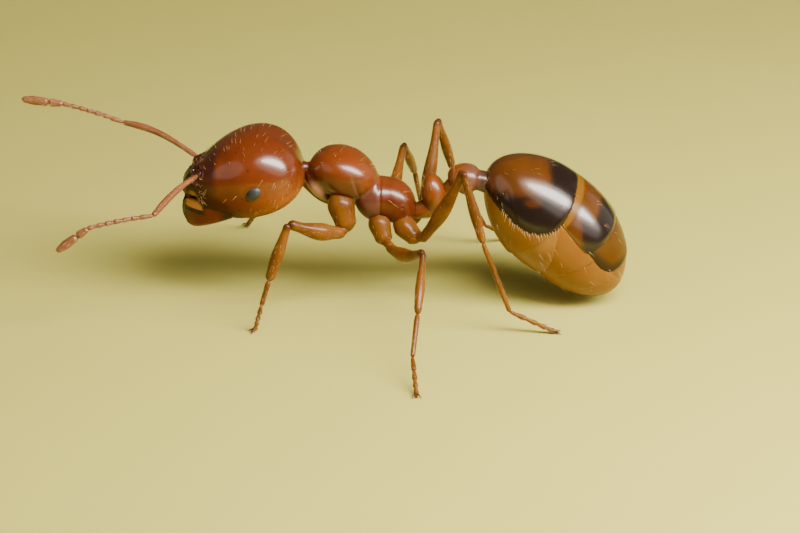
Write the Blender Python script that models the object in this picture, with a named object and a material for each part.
"""A fire ant worker as a still, life-size museum model.

The body is divided where an entomologist names its parts: head, mandibles, eyes, feelers, the plates
of the trunk, the two waist nodes, the plates of the gaster, and the joints of six legs. Each is one
closed solid, and a thin clear gap parts it from its neighbours.

Sizes are in millimetres and become metres in the meshes. The ant faces -X, its left side faces -Y,
up is +Z and the floor is Z = 0. The empty at the end sets the middle of the floor plan on the origin.
"""
import math
from collections import namedtuple

import bmesh
import bpy
from mathutils import Matrix, Vector

MM = 0.001                   # metres in a millimetre
GAP = 0.012                  # clear gap between neighbouring solids
FLOOR_DIP = 0.012            # how far a foot is sunk before its sole is cut flat
SHARP_ANGLE = 40.0           # a steeper edge than this is shaded sharp

ROUND = 2.0                  # exponent of an elliptical cross-section
FULL = 2.25                  # exponent of a slightly squared cross-section
POLE = 0.035                 # where an egg's first ring stands, in shares of the half turn to its last

Finish = namedtuple("Finish", "name colour roughness")
Mass = namedtuple("Mass", "centre pitch front back half_width rise drop skew blunt")
Ring = namedtuple("Ring", "centre side up half_width rise drop exponent")
Swelling = namedtuple("Swelling", "start bend end neck tail middle reach half_width rise drop")
Leg = namedtuple("Leg", "name coxa hip knee ankle heel toe girth femur_bow")

SHELL_RED = Finish("shell_red", (0.33, 0.075, 0.014), 0.22)
SHELL_DARK = Finish("shell_dark", (0.10, 0.022, 0.010), 0.24)
SHELL_PLUM = Finish("shell_plum", (0.15, 0.050, 0.035), 0.30)
SHELL_AMBER = Finish("shell_amber", (0.42, 0.155, 0.022), 0.26)
FEELER_PINK = Finish("feeler_pink", (0.50, 0.210, 0.085), 0.34)
GASTER_GOLD = Finish("gaster_gold", (0.40, 0.150, 0.018), 0.20)
EYE_SLATE = Finish("eye_slate", (0.035, 0.050, 0.060), 0.30)

# Head: a deep egg, broad at the back, its long axis sloping down to the mouth.
HEAD = Mass(centre=(-1.85, 1.865), pitch=20.0, front=1.065, back=0.61,
            half_width=0.69, rise=0.60, drop=0.53, skew=0.70, blunt=0.57)
HEAD_RINGS = 13
HEAD_SIDES = 22
HEAD_CUT = 0.86              # where the face ends at the mouth, from the head's centre
VERTEX_NOTCH = 0.05          # depth of the shallow hollow in the middle of the back of the head
VERTEX_NOTCH_WIDTH = 0.22
VERTEX_NOTCH_START = 0.35    # where the hollow begins, in shares of the way from centre to back
VERTEX_NOTCH_FLOOR = 0.25    # how far below the head's axis it reaches
VERTEX_NOTCH_RISE = 2.0      # how fast it deepens
NECK_START = (-1.345, 1.93)
NECK_END = (-1.115, 1.90)
NECK_RADIUS = 0.11
NECK_SIDES = 12
EYE_PLACE = (-1.90, 0.655, 1.842)
EYE_LENGTH = 0.230
EYE_HEIGHT = 0.165
EYE_BULGE = 0.075            # half-thickness of the eye's lens shape
EYE_TILT = 42.0              # slope of the eye's long axis, its hind end up
FACE_SHIELD = Mass(centre=(-2.665, 1.765), pitch=52.0, front=0.235, back=0.20,
                   half_width=0.30, rise=0.105, drop=0.16, skew=1.0, blunt=0.5)

# Mandible, left side mirrored for the right: a blade that widens to its toothed edge at the midline.
MANDIBLE_ROOT = (-2.30, 0.40, 1.47)
MANDIBLE_BEND = (-2.62, 0.34, 1.38)
MANDIBLE_EDGE = (-2.825, 0.035, 1.335)
MANDIBLE_ROOT_RISE = 0.115
MANDIBLE_EDGE_RISE = 0.235
MANDIBLE_ROOT_HALF = 0.105
MANDIBLE_EDGE_HALF = 0.030
MANDIBLE_STEPS = 5
MANDIBLE_UP = (-0.10, 0.0, 1.0)
MANDIBLE_SQUARE = 2.6        # exponent of the blade's cross-section
TOOTH_NOTCHES = 4
TOOTH_NOTCH_RADIUS = 0.034
TOOTH_NOTCH_LENGTH = 0.4

# Feelers: elbowed, the scape first, then a thin beaded shaft and a two-jointed club.
SOCKET = (-2.62, 0.25, 1.925)
SCAPE_RADIUS = 0.050
SHAFT_RADIUS = 0.036
CLUB_RADIUS = 0.066
SHAFT_BEADS = 7
SHAFT_WAIST = 0.74           # thickness at a bead's seam, in shares of its greatest
SHAFT_BOW = (0.0, 0.0, 0.02)
CLUB_BOW = (0.0, 0.0, 0.01)
SCAPE_STEPS = 7
SCAPE_PROFILE = ((0.0, 0.55), (0.12, 0.72), (0.75, 1.0), (1.0, 0.72))
CLUB_PROFILE = ((0.0, 0.50), (0.10, 0.72), (0.30, 0.88), (0.345, 0.74), (0.40, 0.90),
                (0.72, 1.0), (0.90, 0.74), (1.0, 0.25))
FEELER_LEFT = {"elbow": (-3.18, -1.20, 1.77), "scape_bow": (0.0, 0.05, 0.04),
               "shaft_end": (-4.01, -1.34, 1.656), "tip": (-4.42, -1.42, 1.364)}
FEELER_RIGHT = {"elbow": (-3.67, 0.90, 2.18), "scape_bow": (-0.03, 0.04, 0.09),
                "shaft_end": (-4.47, 1.10, 2.36), "tip": (-5.03, 1.20, 2.39)}

# Trunk: a rounded fore part, a sunken side plate, and a lower egg behind a cross groove.
FORE_TRUNK = Mass(centre=(-0.79, 1.88), pitch=-23.0, front=0.44, back=0.55,
                  half_width=0.41, rise=0.33, drop=0.31, skew=0.98, blunt=0.55)
FORE_TRUNK_RINGS = 12
FORE_TRUNK_SIDES = 20
FORE_TRUNK_SEAM = -0.20      # the seam behind the collar plate, from the fore trunk's centre
FORE_TRUNK_SEAM_LEAN = 0.25  # how far that seam leans back at its top
NECK_PLATE = Mass(centre=(-1.06, 1.70), pitch=-52.0, front=0.28, back=0.30,
                  half_width=0.235, rise=0.15, drop=0.135, skew=1.0, blunt=0.5)
SIDE_PLATE = Mass(centre=(-0.33, 1.47), pitch=-52.0, front=0.36, back=0.33,
                  half_width=0.315, rise=0.30, drop=0.255, skew=1.0, blunt=0.5)
HIND_TRUNK = Mass(centre=(-0.12, 1.44), pitch=-41.0, front=0.38, back=0.38,
                  half_width=0.30, rise=0.30, drop=0.235, skew=1.0, blunt=0.52)

# Waist: a stalk with an upright node, then a deep bead. Stalk and bead are bent rods that swell once.
PETIOLE = Swelling(start=(0.03, 1.28), bend=(0.36, 1.25), end=(0.72, 1.68), neck=0.088, tail=0.100,
                   middle=0.50, reach=0.28, half_width=0.135, rise=0.13, drop=0.13)
PETIOLE_NODE = Mass(centre=(0.435, 1.505), pitch=-84.0, front=0.33, back=0.215,
                    half_width=0.215, rise=0.185, drop=0.165, skew=1.0, blunt=0.5)
PETIOLE_NODE_RINGS = 6
PETIOLE_NODE_SIDES = 12
WAIST_JOINT = (0.645, 1.61)
WAIST_JOINT_RISE = 47.0      # how steeply the waist climbs through its joint
BEAD = Swelling(start=(0.60, 1.57), bend=(0.78, 1.88), end=(1.24, 1.67), neck=0.095, tail=0.160,
                middle=0.47, reach=0.25, half_width=0.225, rise=0.225, drop=0.20)
SWELL_SHARES = (-1.0, -0.93, -0.65, -0.25, 0.25, 0.65, 0.93, 1.0)

# Gaster: a swollen egg hanging down behind, cut across into four rings and along into upper and
# lower plates.
GASTER_FRONT = Mass(centre=(1.89, 1.18), pitch=-50.5, front=1.045, back=0.98,
                    half_width=0.70, rise=0.755, drop=0.65, skew=0.93, blunt=0.50)
GASTER_REAR = Mass(centre=(2.11, 1.125), pitch=-53.0, front=1.02, back=1.20,
                   half_width=0.68, rise=0.68, drop=0.665, skew=0.93, blunt=0.50)
GASTER_EDGES = ((2.15, 1.42), (2.73, 0.93), (2.88, 0.50))   # on each ring's hind edge
GASTER_EDGE_LEAN = (50.0, 62.0, 74.0)     # how far the hind edges lean from upright
PLATE_LINES = ((1.54, 1.43), (2.36, 1.04), (2.36, 1.04), (2.36, 1.04))   # on each plate's lower edge
PLATE_SLOPES = (30.0, 53.0, 53.0, 53.0)   # how steeply the upper plates' lower edges fall
RING_STEP = 0.016            # how far each ring is smaller than the ring before it
GASTER_RINGS = 14
GASTER_SIDES = 20

# Legs: points are the middles of the joints, for the side that each leg stands on.
LEGS = (
    Leg("fore_left", (-0.80, -0.24, 1.60), (-0.675, -0.40, 1.16), (-1.45, -0.80, 1.475),
        (-1.71, -0.90, 0.70), (-1.81, -0.94, 0.36), (-1.90, -0.98, 0.0), 1.0, (0.0, 0.0, -0.045)),
    Leg("mid_left", (-0.29, -0.20, 1.27), (-0.18, -0.40, 0.97), (0.30, -1.25, 1.27),
        (0.225, -1.90, 0.70), (0.16, -2.35, 0.31), (0.21, -2.87, 0.0), 0.82, (0.0, 0.0, -0.085)),
    Leg("hind_left", (0.02, -0.18, 1.20), (0.26, -0.40, 1.02), (0.81, -0.95, 2.28),
        (1.075, -1.12, 1.34), (1.43, -1.05, 0.33), (2.03, -1.03, 0.0), 0.84, (0.04, 0.0, -0.02)),
    Leg("fore_right", (-0.80, 0.24, 1.60), (-0.675, 0.40, 1.16), (-1.45, 1.15, 1.35),
        (-1.85, 1.75, 0.72), (-1.96, 2.02, 0.36), (-2.10, 2.35, 0.0), 1.0, (0.0, 0.0, -0.02)),
    Leg("mid_right", (-0.29, 0.20, 1.27), (-0.18, 0.40, 0.97), (0.05, 1.35, 1.665),
        (0.20, 2.00, 0.98), (0.28, 2.30, 0.42), (0.42, 2.66, 0.0), 0.82, (0.0, 0.0, -0.02)),
    Leg("hind_right", (0.02, 0.18, 1.20), (0.26, 0.40, 1.02), (0.50, 0.95, 2.20),
        (0.71, 1.35, 1.31), (1.15, 1.60, 0.36), (1.62, 1.92, 0.0), 0.84, (0.02, 0.0, -0.02)),
)
COXA_RADIUS = 0.170
FEMUR_RADIUS = 0.127
TIBIA_RADIUS = 0.094
TARSUS_RADIUS = 0.042
CLAW_RADIUS = 0.016
CLAW_RADII = (CLAW_RADIUS, CLAW_RADIUS * 0.75, CLAW_RADIUS * 0.3)
CLAW_LENGTH = 0.105
CLAW_ROOT_HEIGHT = 0.032
CLAW_TIP_HEIGHT = 0.010
CLAW_SPREAD = 28.0           # half the angle between a foot's claws, in degrees
CLAW_APART = 0.6             # how far a claw's root stands from the middle, in shares of its radius
CLAW_BEND = 0.6              # where a claw turns down, in shares of its length
TARSUS_FLAT = math.cos(math.radians(30.0))   # from middle to flat underside, in shares of radius
TARSUS_JOINTS = 5
TARSUS_CAP = (0.8, 0.5)      # how far the rounded heel reaches and its thickness, in shares of radius
TARSUS_SWELL = (0.66, 0.92)  # thickness at a joint and between joints, in shares of the radius
CAP_SHARES = (0.6, 0.95)     # where the rings of a rounded end stand, in shares of its radius

# Half-thickness along each leg joint, as (share of length, share of the greatest).
COXA_PROFILE = ((0.0, 0.90), (0.35, 1.04), (0.75, 0.84), (1.0, 0.52))
FEMUR_PROFILE = ((0.0, 0.50), (0.14, 0.52), (0.45, 1.0), (0.86, 0.58), (1.0, 0.52))
SHANK_PROFILE = ((0.0, 0.95), (0.15, 1.05), (0.75, 0.95), (1.0, 0.80))
TIBIA_PROFILE = ((0.0, 0.64), (0.12, 0.66), (0.60, 1.0), (0.90, 0.80), (1.0, 0.56))


def clear_scene() -> None:
    """Remove every object that the scene starts with."""
    for thing in list(bpy.data.objects):
        bpy.data.objects.remove(thing)


def material_of(finish: Finish) -> bpy.types.Material:
    """Return the Principled material of a finish, made on its first use."""
    if finish.name in bpy.data.materials:
        return bpy.data.materials[finish.name]
    material = bpy.data.materials.new(finish.name)
    material.use_nodes = True
    shader = material.node_tree.nodes["Principled BSDF"]
    shader.inputs["Base Color"].default_value = (*finish.colour, 1.0)
    shader.inputs["Roughness"].default_value = finish.roughness
    shader.inputs["Metallic"].default_value = 0.0
    return material


def add_piece(name: str, mesh_data: bmesh.types.BMesh, finish: Finish) -> bpy.types.Object:
    """Turn a bmesh in millimetres into a named, smooth-shaded object in metres."""
    bmesh.ops.recalc_face_normals(mesh_data, faces=mesh_data.faces[:])
    bmesh.ops.scale(mesh_data, vec=(MM, MM, MM), verts=mesh_data.verts[:])
    mesh = bpy.data.meshes.new(name)
    mesh_data.to_mesh(mesh)
    mesh_data.free()
    mesh.shade_smooth()
    mesh.set_sharp_from_angle(angle=math.radians(SHARP_ANGLE))
    mesh.materials.append(material_of(finish))
    piece = bpy.data.objects.new(name, mesh)
    bpy.context.scene.collection.objects.link(piece)
    return piece


def super_power(value: float, exponent: float) -> float:
    """Return the signed power that turns a circle into a superellipse."""
    return math.copysign(abs(value) ** (2.0 / exponent), value)


def ring_point(ring: Ring, turn: float) -> Vector:
    """Return the point of a ring at a turn in radians, 0 to its side and a quarter turn up."""
    across = super_power(math.cos(turn), ring.exponent) * ring.half_width
    height = super_power(math.sin(turn), ring.exponent)
    height *= ring.rise if height > 0.0 else ring.drop
    return ring.centre + ring.side * across + ring.up * height


def loft(rings: list, sides: int) -> bmesh.types.BMesh:
    """Extrude a round face through the rings and return the closed solid."""
    solid = bmesh.new()
    step = solid.verts.layers.int.new("step")
    circle = bmesh.ops.create_circle(solid, cap_ends=True, segments=sides, radius=1.0)
    for index, vert in enumerate(circle["verts"]):
        vert[step] = index
    face = solid.faces[:][0]
    place_ring(face, rings[0], step, sides)
    first = face
    for ring in rings[1:]:
        grown = bmesh.ops.extrude_face_region(solid, geom=[face])["geom"]
        if face is not first:
            solid.faces.remove(face)
        face = next(item for item in grown if isinstance(item, bmesh.types.BMFace))
        place_ring(face, ring, step, sides)
    solid.verts.layers.int.remove(step)
    return solid


def place_ring(face, ring: Ring, step, sides: int) -> None:
    """Move a face's corners to a ring."""
    for vert in face.verts:
        vert.co = ring_point(ring, math.tau * vert[step] / sides)


def mass_axes(mass: Mass) -> tuple:
    """Return a mass's centre, its forward and its up direction in the median plane.

    Forward points to the ant's mouth (-X); a positive pitch lowers it.
    """
    turn = math.radians(mass.pitch)
    forward = Vector((-math.cos(turn), 0.0, -math.sin(turn)))
    up = Vector((-math.sin(turn), 0.0, math.cos(turn)))
    return Vector((mass.centre[0], 0.0, mass.centre[1])), forward, up


def mass_rings(mass: Mass, count: int, grow: float = 0.0, ring_exponent: float = FULL) -> list:
    """Return the rings of an egg along a mass's axis, from its back to its front."""
    centre, forward, up = mass_axes(mass)
    rings = []
    for index in range(count + 1):
        way = 0.5 - 0.5 * math.cos(math.pi * (POLE + (1.0 - 2.0 * POLE) * index / count))
        size = math.sin(math.pi * way ** mass.skew) ** mass.blunt
        along = -mass.back - grow + (mass.front + mass.back + 2.0 * grow) * way
        rings.append(Ring(centre + forward * along, Vector((0.0, 1.0, 0.0)), up,
                          (mass.half_width + grow) * size, (mass.rise + grow) * size,
                          (mass.drop + grow) * size, ring_exponent))
    return rings


def trim(solid: bmesh.types.BMesh, point: Vector, keep: Vector) -> None:
    """Cut a solid flat at a plane, keep the side that the direction points to and close it."""
    cut = bmesh.ops.bisect_plane(solid, geom=solid.verts[:] + solid.edges[:] + solid.faces[:],
                                 dist=1e-6, plane_co=point, plane_no=keep, clear_inner=True)
    edges = [item for item in cut["geom_cut"] if isinstance(item, bmesh.types.BMEdge)]
    if edges:
        bmesh.ops.contextual_create(solid, geom=edges)


def limb_rings(points: list, radii: list) -> list:
    """Return rings along a smooth path.

    points are the path's middles and radii its half-thickness at the same places.
    """
    rings = []
    side = Vector((0.0, 0.0, 1.0)).cross(points[-1] - points[0])
    side = side.normalized() if side.length > 1e-6 else Vector((0.0, 1.0, 0.0))
    for index in range(len(points)):
        before = points[max(index - 1, 0)]
        after = points[min(index + 1, len(points) - 1)]
        along = (after - before).normalized()
        across = (side - along * side.dot(along)).normalized()
        up = along.cross(across)
        radius = radii[index]
        rings.append(Ring(points[index], across, up, radius, radius, radius, ROUND))
    return rings


def bowed(start: Vector, end: Vector, bow: Vector, ways: list) -> list:
    """Return the points of a line that bows to one side, at the given shares of its length."""
    return [start.lerp(end, way) + bow * math.sin(math.pi * way) for way in ways]


def profile_radius(profile: tuple, way: float) -> float:
    """Return a smooth value read from (share, value) pairs."""
    for (way_a, value_a), (way_b, value_b) in zip(profile, profile[1:]):
        if way <= way_b:
            share = (way - way_a) / (way_b - way_a)
            share = share * share * (3.0 - 2.0 * share)
            return value_a + (value_b - value_a) * share
    return profile[-1][1]


def cutter_from(neighbour: bpy.types.Object) -> bpy.types.Object:
    """Return the hidden cutter that is a neighbour grown by the gap, made on its first use."""
    name = "cutter_" + neighbour.name
    if name in bpy.data.objects:
        return bpy.data.objects[name]
    cutter = bpy.data.objects.new(name, neighbour.data.copy())
    bpy.context.scene.collection.objects.link(cutter)
    grow = cutter.modifiers.new("grow", "DISPLACE")
    grow.strength = GAP * MM
    grow.mid_level = 0.0
    cutter.hide_render = True
    cutter.display_type = "WIRE"
    return cutter


def clear_of(piece: bpy.types.Object, *neighbours: bpy.types.Object) -> bpy.types.Object:
    """Cut a piece back so that it stays the gap away from each neighbour."""
    for neighbour in neighbours:
        cut = piece.modifiers.new("clear_" + neighbour.name, "BOOLEAN")
        cut.operation = "DIFFERENCE"
        cut.solver = "EXACT"
        cut.object = cutter_from(neighbour)
    return piece


def make_mass(name: str, mass: Mass, finish: Finish, count: int, sides: int) -> bpy.types.Object:
    """Make an egg-shaped body part."""
    return add_piece(name, loft(mass_rings(mass, count), sides), finish)


def make_head() -> bpy.types.Object:
    """Make the head capsule with its flat mouth end and the hollow at its back."""
    centre, forward, up = mass_axes(HEAD)
    solid = loft(mass_rings(HEAD, HEAD_RINGS), HEAD_SIDES)
    for vert in solid.verts:
        local = vert.co - centre
        behind = max(0.0, -local.dot(forward) / HEAD.back - VERTEX_NOTCH_START)
        above = max(0.0, local.dot(up) + VERTEX_NOTCH_FLOOR)
        inward = VERTEX_NOTCH * math.exp(-(local.y / VERTEX_NOTCH_WIDTH) ** 2)
        inward *= min(1.0, VERTEX_NOTCH_RISE * behind) * min(1.0, VERTEX_NOTCH_RISE * above)
        vert.co += forward * inward
    trim(solid, centre + forward * HEAD_CUT, -forward)
    return add_piece("head", solid, SHELL_RED)


def make_eye(name: str, side: int, head: bpy.types.Object) -> bpy.types.Object:
    """Make one lens-shaped eye and sink its seat into the head."""
    place = Vector((EYE_PLACE[0], side * EYE_PLACE[1], EYE_PLACE[2]))
    solid = bmesh.new()
    bmesh.ops.create_uvsphere(solid, u_segments=12, v_segments=6, radius=1.0)
    half = Matrix.Diagonal((EYE_LENGTH / 2.0, EYE_HEIGHT / 2.0, EYE_BULGE, 1.0))
    slope = Matrix.Rotation(math.radians(-EYE_TILT), 4, "Y")
    flat = Matrix.Rotation(math.radians(-side * 90.0), 4, "X")
    bmesh.ops.transform(solid, matrix=Matrix.Translation(place) @ slope @ flat @ half,
                        verts=solid.verts[:])
    eye = add_piece(name, solid, EYE_SLATE)
    clear_of(head, eye)
    return eye


def make_mandible(name: str, side: int, head, shield) -> None:
    """Make one mandible: a blade that bends to the midline and ends in a toothed edge."""
    root = Vector((MANDIBLE_ROOT[0], side * MANDIBLE_ROOT[1], MANDIBLE_ROOT[2]))
    bend = Vector((MANDIBLE_BEND[0], side * MANDIBLE_BEND[1], MANDIBLE_BEND[2]))
    edge = Vector((MANDIBLE_EDGE[0], side * MANDIBLE_EDGE[1], MANDIBLE_EDGE[2]))
    up = Vector(MANDIBLE_UP).normalized()
    rings = []
    for index in range(MANDIBLE_STEPS + 1):
        way = index / MANDIBLE_STEPS
        centre = (root * (1.0 - way) ** 2 + bend * 2.0 * way * (1.0 - way) + edge * way ** 2)
        along = ((bend - root) * (1.0 - way) + (edge - bend) * way).normalized()
        across = up.cross(along).normalized()
        rise = MANDIBLE_ROOT_RISE + (MANDIBLE_EDGE_RISE - MANDIBLE_ROOT_RISE) * way
        half = MANDIBLE_ROOT_HALF + (MANDIBLE_EDGE_HALF - MANDIBLE_ROOT_HALF) * way
        rings.append(Ring(centre, across, up, half, rise, rise, MANDIBLE_SQUARE))
    solid = loft(rings, 10)
    trim(solid, Vector((0.0, side * GAP / 2.0, 0.0)), Vector((0.0, side, 0.0)))
    mandible = clear_of(add_piece(name, solid, SHELL_DARK), head, shield)
    for index in range(TOOTH_NOTCHES):
        notch = mandible.modifiers.new(f"tooth_notch_{index}", "BOOLEAN")
        notch.operation = "DIFFERENCE"
        notch.solver = "EXACT"
        notch.object = tooth_cutter(index)


def tooth_cutter(index: int) -> bpy.types.Object:
    """Return the hidden rod that cuts the gap between two teeth, made on its first use."""
    name = f"cutter_tooth_{index}"
    if name not in bpy.data.objects:
        pitch = 2.0 * MANDIBLE_EDGE_RISE / (TOOTH_NOTCHES + 1)
        height = MANDIBLE_EDGE[2] - MANDIBLE_EDGE_RISE + pitch * (index + 1)
        solid = bmesh.new()
        turn = Matrix.Rotation(math.radians(90.0), 4, "Y")
        place = Matrix.Translation((MANDIBLE_EDGE[0], 0.0, height)) @ turn
        bmesh.ops.create_cone(solid, cap_ends=True, segments=8, radius1=TOOTH_NOTCH_RADIUS,
                              radius2=TOOTH_NOTCH_RADIUS, depth=TOOTH_NOTCH_LENGTH,
                              matrix=place)
        rod = add_piece(name, solid, SHELL_DARK)
        rod.hide_render = True
        rod.display_type = "WIRE"
    return bpy.data.objects[name]


def make_feeler(name: str, side: int, bends: dict, head, shield) -> None:
    """Make one feeler: scape, beaded shaft and club."""
    socket = Vector((SOCKET[0], side * SOCKET[1], SOCKET[2]))
    elbow = Vector(bends["elbow"])
    shaft_end = Vector(bends["shaft_end"])
    tip = Vector(bends["tip"])
    ways = [index / SCAPE_STEPS for index in range(SCAPE_STEPS + 1)]
    points = bowed(socket, elbow, Vector(bends["scape_bow"]), ways)
    radii = [SCAPE_RADIUS * profile_radius(SCAPE_PROFILE, way) for way in ways]
    scape = loft(limb_rings(points, radii), 7)
    mitre(scape, elbow, socket - elbow, shaft_end - elbow)
    clear_of(add_piece(name + "_scape", scape, FEELER_PINK), head, shield)

    steps = SHAFT_BEADS * 2
    ways = [index / steps for index in range(steps + 1)]
    points = bowed(elbow, shaft_end, Vector(SHAFT_BOW), ways)
    radii = [SHAFT_RADIUS * (1.0 if index % 2 else SHAFT_WAIST) for index in range(steps + 1)]
    shaft = loft(limb_rings(points, radii), 6)
    mitre(shaft, elbow, shaft_end - elbow, socket - elbow)
    mitre(shaft, shaft_end, elbow - shaft_end, tip - shaft_end)
    add_piece(name + "_shaft", shaft, FEELER_PINK)

    points = bowed(shaft_end, tip, Vector(CLUB_BOW), [way for way, _ in CLUB_PROFILE])
    radii = [CLUB_RADIUS * share for _, share in CLUB_PROFILE]
    club = loft(limb_rings(points, radii), 8)
    mitre(club, shaft_end, tip - shaft_end, elbow - shaft_end)
    add_piece(name + "_club", club, FEELER_PINK)


def mitre(solid: bmesh.types.BMesh, joint: Vector, own: Vector, other: Vector) -> None:
    """Trim a limb at the plane that halves the bend at a joint, half the gap back."""
    keep = (own.normalized() - other.normalized()).normalized()
    trim(solid, joint + keep * GAP / 2.0, keep)


def make_trunk(head: bpy.types.Object) -> dict:
    """Make the plates of the trunk and return them by name."""
    centre, forward, up = mass_axes(FORE_TRUNK)
    seam = centre + forward * FORE_TRUNK_SEAM
    lean = (forward - up * FORE_TRUNK_SEAM_LEAN).normalized()
    collar_solid = loft(mass_rings(FORE_TRUNK, FORE_TRUNK_RINGS), FORE_TRUNK_SIDES)
    trim(collar_solid, seam + lean * GAP / 2.0, lean)
    collar = add_piece("pronotum", collar_solid, SHELL_RED)
    saddle_solid = loft(mass_rings(FORE_TRUNK, FORE_TRUNK_RINGS), FORE_TRUNK_SIDES)
    trim(saddle_solid, seam - lean * GAP / 2.0, -lean)
    saddle = add_piece("mesonotum", saddle_solid, SHELL_RED)
    hind = clear_of(make_mass("propodeum", HIND_TRUNK, SHELL_RED, 9, 16), saddle, collar)
    side_plate = make_mass("mesopleuron", SIDE_PLATE, SHELL_PLUM, 8, 16)
    clear_of(side_plate, collar, saddle, hind)
    neck_plate = make_mass("propleuron", NECK_PLATE, SHELL_PLUM, 7, 14)
    clear_of(neck_plate, head, collar, side_plate)
    return {"pronotum": collar, "mesonotum": saddle, "propodeum": hind,
            "mesopleuron": side_plate, "propleuron": neck_plate}


def make_neck(head: bpy.types.Object, trunk: dict) -> None:
    """Make the short neck between the head and the trunk."""
    ends = [Vector((place[0], 0.0, place[1])) for place in (NECK_START, NECK_END)]
    neck = loft(limb_rings(ends, [NECK_RADIUS] * len(ends)), NECK_SIDES)
    clear_of(add_piece("neck", neck, SHELL_DARK), head, trunk["pronotum"], trunk["propleuron"])


def swollen_rod(shape: Swelling, sides: int) -> bmesh.types.BMesh:
    """Return a rod that bends in the median plane and swells round its middle share."""
    start = Vector((shape.start[0], 0.0, shape.start[1]))
    bend = Vector((shape.bend[0], 0.0, shape.bend[1]))
    end = Vector((shape.end[0], 0.0, shape.end[1]))
    shares = [0.0] + [shape.middle + shape.reach * share for share in SWELL_SHARES] + [1.0]
    rings = []
    for way in shares:
        centre = start * (1.0 - way) ** 2 + bend * 2.0 * way * (1.0 - way) + end * way ** 2
        along = ((bend - start) * (1.0 - way) + (end - bend) * way).normalized()
        up = Vector((-along.z, 0.0, along.x))
        offset = min(1.0, abs(way - shape.middle) / shape.reach)
        swell = math.sqrt(1.0 - offset * offset)
        neck = shape.neck + (shape.tail - shape.neck) * way
        sizes = [neck + (size - neck) * swell
                 for size in (shape.half_width, shape.rise, shape.drop)]
        rings.append(Ring(centre, Vector((0.0, 1.0, 0.0)), up, *sizes, ROUND))
    return loft(rings, sides)


def make_waist(trunk: dict) -> None:
    """Make the stalked petiole and the bead between it and the gaster."""
    joint = Vector((WAIST_JOINT[0], 0.0, WAIST_JOINT[1]))
    rearward = flat_direction(WAIST_JOINT_RISE)
    solid = swollen_rod(PETIOLE, 12)
    trim(solid, joint - rearward * GAP / 2.0, -rearward)
    petiole = add_piece("petiole", solid, SHELL_RED)
    node = loft(mass_rings(PETIOLE_NODE, PETIOLE_NODE_RINGS, 0.0, ROUND), PETIOLE_NODE_SIDES)
    upright = add_piece("guide_petiole_node", node, SHELL_RED)
    join(petiole, upright)
    clear_of(petiole, trunk["propodeum"])
    solid = swollen_rod(BEAD, 12)
    trim(solid, joint + rearward * GAP / 2.0, rearward)
    bead = clear_of(add_piece("postpetiole", solid, SHELL_RED), upright)
    whole_front = loft(mass_rings(GASTER_FRONT, GASTER_RINGS, 0.0, ROUND), GASTER_SIDES)
    guide = add_piece("guide_gaster_front", whole_front, GASTER_GOLD)
    guide.hide_render = True
    guide.display_type = "WIRE"
    clear_of(bead, guide)


def join(piece: bpy.types.Object, other: bpy.types.Object) -> None:
    """Make one solid of two that overlap; the second stays as a hidden guide."""
    union = piece.modifiers.new("join_" + other.name, "BOOLEAN")
    union.operation = "UNION"
    union.solver = "EXACT"
    union.object = other
    other.hide_render = True
    other.display_type = "WIRE"


def flat_direction(angle: float) -> Vector:
    """Return the direction in the median plane that rises from the rear at an angle in degrees."""
    turn = math.radians(angle)
    return Vector((math.cos(turn), 0.0, math.sin(turn)))


def make_gaster() -> None:
    """Make the gaster's four rings, each as an upper and a lower plate."""
    edges = [Vector((edge[0], 0.0, edge[1])) for edge in GASTER_EDGES]
    ahead = [flat_direction(180.0 - lean) for lean in GASTER_EDGE_LEAN]
    for index, (line, slope) in enumerate(zip(PLATE_LINES, PLATE_SLOPES)):
        mass = GASTER_REAR if index else GASTER_FRONT
        shrink = -RING_STEP * max(index - 1, 0)
        above = flat_direction(90.0 - slope)
        level = Vector((line[0], 0.0, line[1]))
        for part, keep_up in (("tergite", 1.0), ("sternite", -1.0)):
            solid = loft(mass_rings(mass, GASTER_RINGS, shrink, ROUND), GASTER_SIDES)
            if index:
                trim(solid, edges[index - 1] - ahead[index - 1] * GAP / 2.0, -ahead[index - 1])
            if index < len(edges):
                trim(solid, edges[index] + ahead[index] * GAP / 2.0, ahead[index])
            trim(solid, level + above * keep_up * GAP / 2.0, above * keep_up)
            add_piece(f"gaster_{part}_{index + 1}", solid, GASTER_GOLD)


def leg_piece(start: Vector, end: Vector, radius: float, profile: tuple,
              count: int, sides: int, bow: tuple = (0.0, 0.0, 0.0)) -> bmesh.types.BMesh:
    """Return the uncut solid of one leg joint, with a half ball past each of its ends."""
    along = (end - start).normalized()
    ways = [index / count for index in range(count + 1)]
    points = bowed(start, end, Vector(bow), ways)
    radii = [radius * profile_radius(profile, way) for way in ways]
    for share in CAP_SHARES:
        ball = math.sqrt(1.0 - share * share)
        points.insert(0, start - along * radii[-len(ways)] * share)
        radii.insert(0, radii[-len(ways)] * ball)
    for share in CAP_SHARES:
        ball = math.sqrt(1.0 - share * share)
        points.append(end + along * radius * profile[-1][1] * share)
        radii.append(radius * profile[-1][1] * ball)
    return loft(limb_rings(points, radii), sides)


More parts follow.
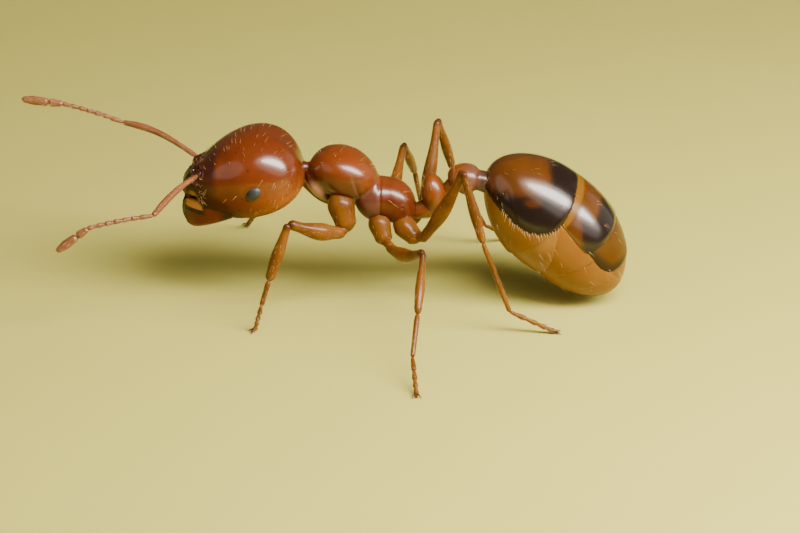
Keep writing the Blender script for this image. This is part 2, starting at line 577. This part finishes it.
def make_leg(leg: Leg, trunk: dict) -> None:
    """Make one leg: coxa, femur, tibia, basitarsus and clawed tarsus, mitred at its joints."""
    coxa, hip, knee = Vector(leg.coxa), Vector(leg.hip), Vector(leg.knee)
    ankle, heel, toe = Vector(leg.ankle), Vector(leg.heel), Vector(leg.toe)
    name = "leg_" + leg.name

    solid = leg_piece(coxa, hip, COXA_RADIUS * leg.girth, COXA_PROFILE, 3, 8)
    mitre(solid, hip, coxa - hip, knee - hip)
    clear_of(add_piece(name + "_coxa", solid, SHELL_AMBER), *trunk.values())

    solid = leg_piece(hip, knee, FEMUR_RADIUS * leg.girth, FEMUR_PROFILE, 6, 9, leg.femur_bow)
    mitre(solid, hip, knee - hip, coxa - hip)
    mitre(solid, knee, hip - knee, ankle - knee)
    add_piece(name + "_femur", solid, SHELL_AMBER)

    solid = leg_piece(knee, ankle, TIBIA_RADIUS * leg.girth, TIBIA_PROFILE, 5, 8)
    mitre(solid, knee, ankle - knee, hip - knee)
    mitre(solid, ankle, knee - ankle, heel - ankle)
    add_piece(name + "_tibia", solid, SHELL_AMBER)

    solid = leg_piece(ankle, heel, TARSUS_RADIUS, SHANK_PROFILE, 3, 7)
    mitre(solid, ankle, heel - ankle, knee - ankle)
    mitre(solid, heel, ankle - heel, toe - heel)
    add_piece(name + "_basitarsus", solid, SHELL_AMBER)

    solid = tarsus_solid(heel, toe)
    mitre(solid, heel, toe - heel, ankle - heel)
    trim(solid, Vector(), Vector((0.0, 0.0, 1.0)))
    foot = add_piece(name + "_tarsus", solid, SHELL_AMBER)
    add_claws(foot, name, heel, toe)


def tarsus_solid(heel: Vector, toe: Vector) -> bmesh.types.BMesh:
    """Return the uncut solid of a foot's short beads, from the heel down to the floor."""
    level = math.hypot(toe.x - heel.x, toe.y - heel.y) / (toe - heel).length
    sole = Vector((toe.x, toe.y, TARSUS_RADIUS * TARSUS_FLAT * level - FLOOR_DIP))
    points = [heel - (sole - heel).normalized() * TARSUS_RADIUS * TARSUS_CAP[0]]
    radii = [TARSUS_RADIUS * TARSUS_CAP[1]]
    steps = (TARSUS_JOINTS - 1) * 2
    for index in range(steps + 1):
        points.append(heel.lerp(sole, index / steps))
        radii.append(TARSUS_RADIUS * TARSUS_SWELL[index % 2])
    radii[1] = TARSUS_RADIUS * SHANK_PROFILE[-1][1]
    radii[-1] = TARSUS_RADIUS
    return loft(limb_rings(points, radii), 6)


def add_claws(foot: bpy.types.Object, name: str, heel: Vector, toe: Vector) -> None:
    """Join two small down-curved claws to the end of a foot."""
    ahead = Vector((toe.x - heel.x, toe.y - heel.y, 0.0)).normalized()
    across = Vector((-ahead.y, ahead.x, 0.0))
    root = Vector((toe.x, toe.y, CLAW_ROOT_HEIGHT)) - ahead * CLAW_RADIUS
    for word, side in (("inner", -1.0), ("outer", 1.0)):
        way = Matrix.Rotation(math.radians(side * CLAW_SPREAD), 3, "Z") @ ahead
        start = root + across * side * CLAW_RADIUS * CLAW_APART
        tip = start + way * CLAW_LENGTH
        tip.z = CLAW_TIP_HEIGHT
        bend = start.lerp(tip, CLAW_BEND)
        bend.z = CLAW_ROOT_HEIGHT
        solid = loft(limb_rings([start, bend, tip], CLAW_RADII), 5)
        join(foot, add_piece(f"{name}_{word}_claw", solid, SHELL_DARK))


def set_on_origin(pieces: list) -> None:
    """Parent the pieces to an empty that brings the middle of the solids' floor plan to the origin."""
    bpy.context.view_layer.update()
    corners = [piece.matrix_world @ Vector(corner) for piece in pieces
               if not piece.hide_render for corner in piece.bound_box]
    low = Vector([min(corner[axis] for corner in corners) for axis in range(3)])
    high = Vector([max(corner[axis] for corner in corners) for axis in range(3)])
    stand = bpy.data.objects.new("ant", None)
    bpy.context.scene.collection.objects.link(stand)
    for piece in pieces:
        piece.parent = stand
    stand.location = (-(low.x + high.x) / 2.0, -(low.y + high.y) / 2.0, -low.z)


def main() -> None:
    """Build the ant."""
    clear_scene()
    head = make_head()
    shield = clear_of(make_mass("clypeus", FACE_SHIELD, SHELL_DARK, 6, 14), head)
    for word, side, bends in (("left", -1, FEELER_LEFT), ("right", 1, FEELER_RIGHT)):
        make_eye("eye_" + word, side, head)
        make_mandible("mandible_" + word, side, head, shield)
        make_feeler("antenna_" + word, side, bends, head, shield)
    trunk = make_trunk(head)
    make_neck(head, trunk)
    make_waist(trunk)
    make_gaster()
    for leg in LEGS:
        make_leg(leg, trunk)
    set_on_origin([thing for thing in bpy.data.objects if thing.type == "MESH"])


main()
